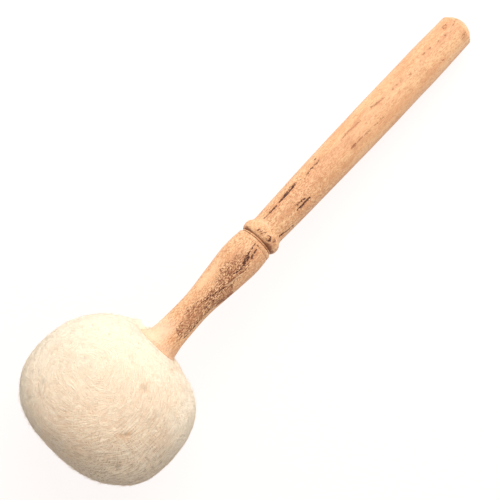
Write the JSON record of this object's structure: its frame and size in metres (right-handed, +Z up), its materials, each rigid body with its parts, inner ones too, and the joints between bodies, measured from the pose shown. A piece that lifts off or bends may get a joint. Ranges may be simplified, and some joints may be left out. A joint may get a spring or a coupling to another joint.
{
  "type": "singing bowl mallet",
  "caption": "Singing bowl mallet: a turned wooden handle with a swelling grip, a bead and a vase-shaped neck, carrying a large rounded head of felted cream wool.",
  "frame": {"origin": "on the floor, under the middle of the lying mallet", "axes": "+X runs along the mallet from the head to the end of the grip, +Z is up; the handle slopes down towards +X"},
  "size_m": [0.3176, 0.092, 0.0921],
  "materials": {
    "turned_wood": "satin",
    "core_wood": "matte",
    "wool_batt": "matte",
    "felted_wool": "matte"
  },
  "bodies": {
    "root": {"handle": "turned_wood", "core_knob": "core_wood", "tenon_wedge": "core_wood", "wool_batt": "wool_batt", "felt_head": "felted_wool"}
  },
  "joints": []
}
